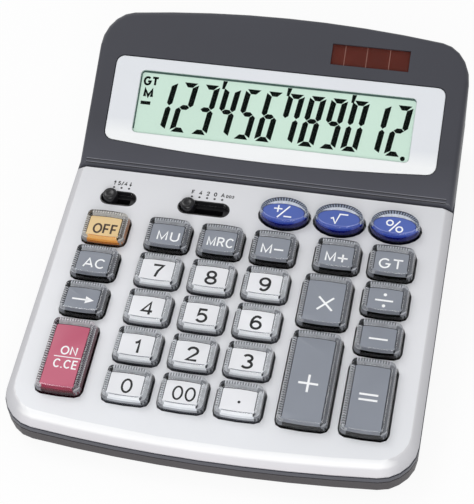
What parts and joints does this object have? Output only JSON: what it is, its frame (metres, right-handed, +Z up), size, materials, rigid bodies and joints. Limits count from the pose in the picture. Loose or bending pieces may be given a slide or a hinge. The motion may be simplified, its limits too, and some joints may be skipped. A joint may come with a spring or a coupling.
{
  "type": "desktop calculator",
  "caption": "Desktop calculator: sloping silver keypad with square and oval keys, slide switches, a raised display head with a solar window, and a sliding battery door underneath.",
  "frame": {"origin": "on the table, under the middle of the body's footprint", "axes": "+X to the right of a person who reads the display, +Y from the keypad towards the display head, +Z up"},
  "size_m": [0.1392, 0.1678, 0.0525],
  "materials": {
    "silver_plastic": "silver paint with a fine metallic sparkle",
    "head_plastic": "dark grey moulded plastic with a slight sheen",
    "base_plastic": "dark warm grey moulded plastic, fine texture",
    "black_plastic": "black moulded plastic",
    "frame_plastic": "white-silver printed frame under a clear coat",
    "display_glass": "pale green reflective display, opaque",
    "clear_plastic": "clear polished plastic",
    "solar_glass": "brown-red thin film behind glass, opaque",
    "key_grey": "grey keycap under a clear shell",
    "key_white": "white keycap under a clear shell",
    "key_orange": "amber keycap under a clear shell",
    "key_rose": "rose red keycap under a clear shell",
    "key_blue": "blue keycap under a clear shell",
    "board_laminate": "green circuit board",
    "flex_film": "amber flexible film",
    "membrane_rubber": "grey silicone rubber",
    "contact_rubber": "striped conductive rubber",
    "foot_rubber": "black rubber",
    "cell_jacket": "plain dark jacket",
    "contact_metal": "nickel plate",
    "screw_steel": "zinc plate"
  },
  "bodies": {
    "root": {"keypad_panel": "silver_plastic", "upper_case": "head_plastic", "bottom_case": "base_plastic", "display_frame": "frame_plastic", "display_window": "clear_plastic", "lcd_panel": "display_glass", "lcd_contact_strip": "contact_rubber", "display_board": "board_laminate", "solar_window": "clear_plastic", "solar_cell": "solar_glass", "ribbon_cable": "flex_film", "main_board": "board_laminate", "controller_chip": "black_plastic", "key_membrane": "membrane_rubber", "rounding_switch": "black_plastic", "decimal_switch": "black_plastic", "battery_cell": "cell_jacket", "battery_contact_positive": "contact_metal", "battery_contact_negative": "contact_metal", "foot_front_left": "foot_rubber", "foot_front_right": "foot_rubber", "foot_rear_left": "foot_rubber", "foot_rear_right": "foot_rubber", "case_screw_front_left": "screw_steel", "case_screw_front_right": "screw_steel", "case_screw_rear_left": "screw_steel", "case_screw_rear_right": "screw_steel"},
    "key_on_clear": {"key_on_clear": "key_rose"},
    "key_backspace": {"key_backspace": "key_grey"},
    "key_all_clear": {"key_all_clear": "key_grey"},
    "key_off": {"key_off": "key_orange"},
    "key_0": {"key_0": "key_white"},
    "key_1": {"key_1": "key_white"},
    "key_2": {"key_2": "key_white"},
    "key_3": {"key_3": "key_white"},
    "key_4": {"key_4": "key_white"},
    "key_5": {"key_5": "key_white"},
    "key_6": {"key_6": "key_white"},
    "key_7": {"key_7": "key_white"},
    "key_8": {"key_8": "key_white"},
    "key_9": {"key_9": "key_white"},
    "key_double_zero": {"key_double_zero": "key_white"},
    "key_point": {"key_point": "key_white"},
    "key_markup": {"key_markup": "key_grey"},
    "key_memory_recall": {"key_memory_recall": "key_grey"},
    "key_memory_minus": {"key_memory_minus": "key_grey"},
    "key_memory_plus": {"key_memory_plus": "key_grey"},
    "key_grand_total": {"key_grand_total": "key_grey"},
    "key_plus": {"key_plus": "key_grey"},
    "key_multiply": {"key_multiply": "key_grey"},
    "key_equals": {"key_equals": "key_grey"},
    "key_minus": {"key_minus": "key_grey"},
    "key_divide": {"key_divide": "key_grey"},
    "key_percent": {"key_percent": "key_blue"},
    "key_root": {"key_root": "key_blue"},
    "key_sign": {"key_sign": "key_blue"},
    "rounding_knob": {"rounding_knob": "black_plastic"},
    "decimal_knob": {"decimal_knob": "black_plastic"},
    "battery_door": {"battery_door": "base_plastic"}
  },
  "joints": [
    {"name": "key_on_clear_press", "type": "slide", "parent": "root", "child": "key_on_clear", "axis": [0, 0.0872, -0.9962], "range_m": [0, 0.002], "stiffness_N_per_m": 300, "springref_m": -0.0005, "deforming": ["key_membrane"]},
    {"name": "key_backspace_press", "type": "slide", "parent": "root", "child": "key_backspace", "axis": [0, 0.0872, -0.9962], "range_m": [0, 0.002], "stiffness_N_per_m": 300, "springref_m": -0.0005, "deforming": ["key_membrane"]},
    {"name": "key_all_clear_press", "type": "slide", "parent": "root", "child": "key_all_clear", "axis": [0, 0.0872, -0.9962], "range_m": [0, 0.002], "stiffness_N_per_m": 300, "springref_m": -0.0005, "deforming": ["key_membrane"]},
    {"name": "key_off_press", "type": "slide", "parent": "root", "child": "key_off", "axis": [0, 0.0872, -0.9962], "range_m": [0, 0.002], "stiffness_N_per_m": 300, "springref_m": -0.0005, "deforming": ["key_membrane"]},
    {"name": "key_0_press", "type": "slide", "parent": "root", "child": "key_0", "axis": [0, 0.0872, -0.9962], "range_m": [0, 0.002], "stiffness_N_per_m": 300, "springref_m": -0.0005, "deforming": ["key_membrane"]},
    {"name": "key_1_press", "type": "slide", "parent": "root", "child": "key_1", "axis": [0, 0.0872, -0.9962], "range_m": [0, 0.002], "stiffness_N_per_m": 300, "springref_m": -0.0005, "deforming": ["key_membrane"]},
    {"name": "key_2_press", "type": "slide", "parent": "root", "child": "key_2", "axis": [0, 0.0872, -0.9962], "range_m": [0, 0.002], "stiffness_N_per_m": 300, "springref_m": -0.0005, "deforming": ["key_membrane"]},
    {"name": "key_3_press", "type": "slide", "parent": "root", "child": "key_3", "axis": [0, 0.0872, -0.9962], "range_m": [0, 0.002], "stiffness_N_per_m": 300, "springref_m": -0.0005, "deforming": ["key_membrane"]},
    {"name": "key_4_press", "type": "slide", "parent": "root", "child": "key_4", "axis": [0, 0.0872, -0.9962], "range_m": [0, 0.002], "stiffness_N_per_m": 300, "springref_m": -0.0005, "deforming": ["key_membrane"]},
    {"name": "key_5_press", "type": "slide", "parent": "root", "child": "key_5", "axis": [0, 0.0872, -0.9962], "range_m": [0, 0.002], "stiffness_N_per_m": 300, "springref_m": -0.0005, "deforming": ["key_membrane"]},
    {"name": "key_6_press", "type": "slide", "parent": "root", "child": "key_6", "axis": [0, 0.0872, -0.9962], "range_m": [0, 0.002], "stiffness_N_per_m": 300, "springref_m": -0.0005, "deforming": ["key_membrane"]},
    {"name": "key_7_press", "type": "slide", "parent": "root", "child": "key_7", "axis": [0, 0.0872, -0.9962], "range_m": [0, 0.002], "stiffness_N_per_m": 300, "springref_m": -0.0005, "deforming": ["key_membrane"]},
    {"name": "key_8_press", "type": "slide", "parent": "root", "child": "key_8", "axis": [0, 0.0872, -0.9962], "range_m": [0, 0.002], "stiffness_N_per_m": 300, "springref_m": -0.0005, "deforming": ["key_membrane"]},
    {"name": "key_9_press", "type": "slide", "parent": "root", "child": "key_9", "axis": [0, 0.0872, -0.9962], "range_m": [0, 0.002], "stiffness_N_per_m": 300, "springref_m": -0.0005, "deforming": ["key_membrane"]},
    {"name": "key_double_zero_press", "type": "slide", "parent": "root", "child": "key_double_zero", "axis": [0, 0.0872, -0.9962], "range_m": [0, 0.002], "stiffness_N_per_m": 300, "springref_m": -0.0005, "deforming": ["key_membrane"]},
    {"name": "key_point_press", "type": "slide", "parent": "root", "child": "key_point", "axis": [0, 0.0872, -0.9962], "range_m": [0, 0.002], "stiffness_N_per_m": 300, "springref_m": -0.0005, "deforming": ["key_membrane"]},
    {"name": "key_markup_press", "type": "slide", "parent": "root", "child": "key_markup", "axis": [0, 0.0872, -0.9962], "range_m": [0, 0.002], "stiffness_N_per_m": 300, "springref_m": -0.0005, "deforming": ["key_membrane"]},
    {"name": "key_memory_recall_press", "type": "slide", "parent": "root", "child": "key_memory_recall", "axis": [0, 0.0872, -0.9962], "range_m": [0, 0.002], "stiffness_N_per_m": 300, "springref_m": -0.0005, "deforming": ["key_membrane"]},
    {"name": "key_memory_minus_press", "type": "slide", "parent": "root", "child": "key_memory_minus", "axis": [0, 0.0872, -0.9962], "range_m": [0, 0.002], "stiffness_N_per_m": 300, "springref_m": -0.0005, "deforming": ["key_membrane"]},
    {"name": "key_memory_plus_press", "type": "slide", "parent": "root", "child": "key_memory_plus", "axis": [0, 0.0872, -0.9962], "range_m": [0, 0.002], "stiffness_N_per_m": 300, "springref_m": -0.0005, "deforming": ["key_membrane"]},
    {"name": "key_grand_total_press", "type": "slide", "parent": "root", "child": "key_grand_total", "axis": [0, 0.0872, -0.9962], "range_m": [0, 0.002], "stiffness_N_per_m": 300, "springref_m": -0.0005, "deforming": ["key_membrane"]},
    {"name": "key_plus_press", "type": "slide", "parent": "root", "child": "key_plus", "axis": [0, 0.0872, -0.9962], "range_m": [0, 0.002], "stiffness_N_per_m": 300, "springref_m": -0.0005, "deforming": ["key_membrane"]},
    {"name": "key_multiply_press", "type": "slide", "parent": "root", "child": "key_multiply", "axis": [0, 0.0872, -0.9962], "range_m": [0, 0.002], "stiffness_N_per_m": 300, "springref_m": -0.0005, "deforming": ["key_membrane"]},
    {"name": "key_equals_press", "type": "slide", "parent": "root", "child": "key_equals", "axis": [0, 0.0872, -0.9962], "range_m": [0, 0.002], "stiffness_N_per_m": 300, "springref_m": -0.0005, "deforming": ["key_membrane"]},
    {"name": "key_minus_press", "type": "slide", "parent": "root", "child": "key_minus", "axis": [0, 0.0872, -0.9962], "range_m": [0, 0.002], "stiffness_N_per_m": 300, "springref_m": -0.0005, "deforming": ["key_membrane"]},
    {"name": "key_divide_press", "type": "slide", "parent": "root", "child": "key_divide", "axis": [0, 0.0872, -0.9962], "range_m": [0, 0.002], "stiffness_N_per_m": 300, "springref_m": -0.0005, "deforming": ["key_membrane"]},
    {"name": "key_percent_press", "type": "slide", "parent": "root", "child": "key_percent", "axis": [0, 0.0872, -0.9962], "range_m": [0, 0.002], "stiffness_N_per_m": 300, "springref_m": -0.0005, "deforming": ["key_membrane"]},
    {"name": "key_root_press", "type": "slide", "parent": "root", "child": "key_root", "axis": [0, 0.0872, -0.9962], "range_m": [0, 0.002], "stiffness_N_per_m": 300, "springref_m": -0.0005, "deforming": ["key_membrane"]},
    {"name": "key_sign_press", "type": "slide", "parent": "root", "child": "key_sign", "axis": [0, 0.0872, -0.9962], "range_m": [0, 0.002], "stiffness_N_per_m": 300, "springref_m": -0.0005, "deforming": ["key_membrane"]},
    {"name": "rounding_knob_slide", "type": "slide", "parent": "root", "child": "rounding_knob", "axis": [1, 0, 0], "range_m": [0, 0.0056]},
    {"name": "decimal_knob_slide", "type": "slide", "parent": "root", "child": "decimal_knob", "axis": [1, 0, 0], "range_m": [0, 0.0112]},
    {"name": "battery_door_slide", "type": "slide", "parent": "root", "child": "battery_door", "axis": [0, 1, 0], "range_m": [0, 0.004]}
  ]
}
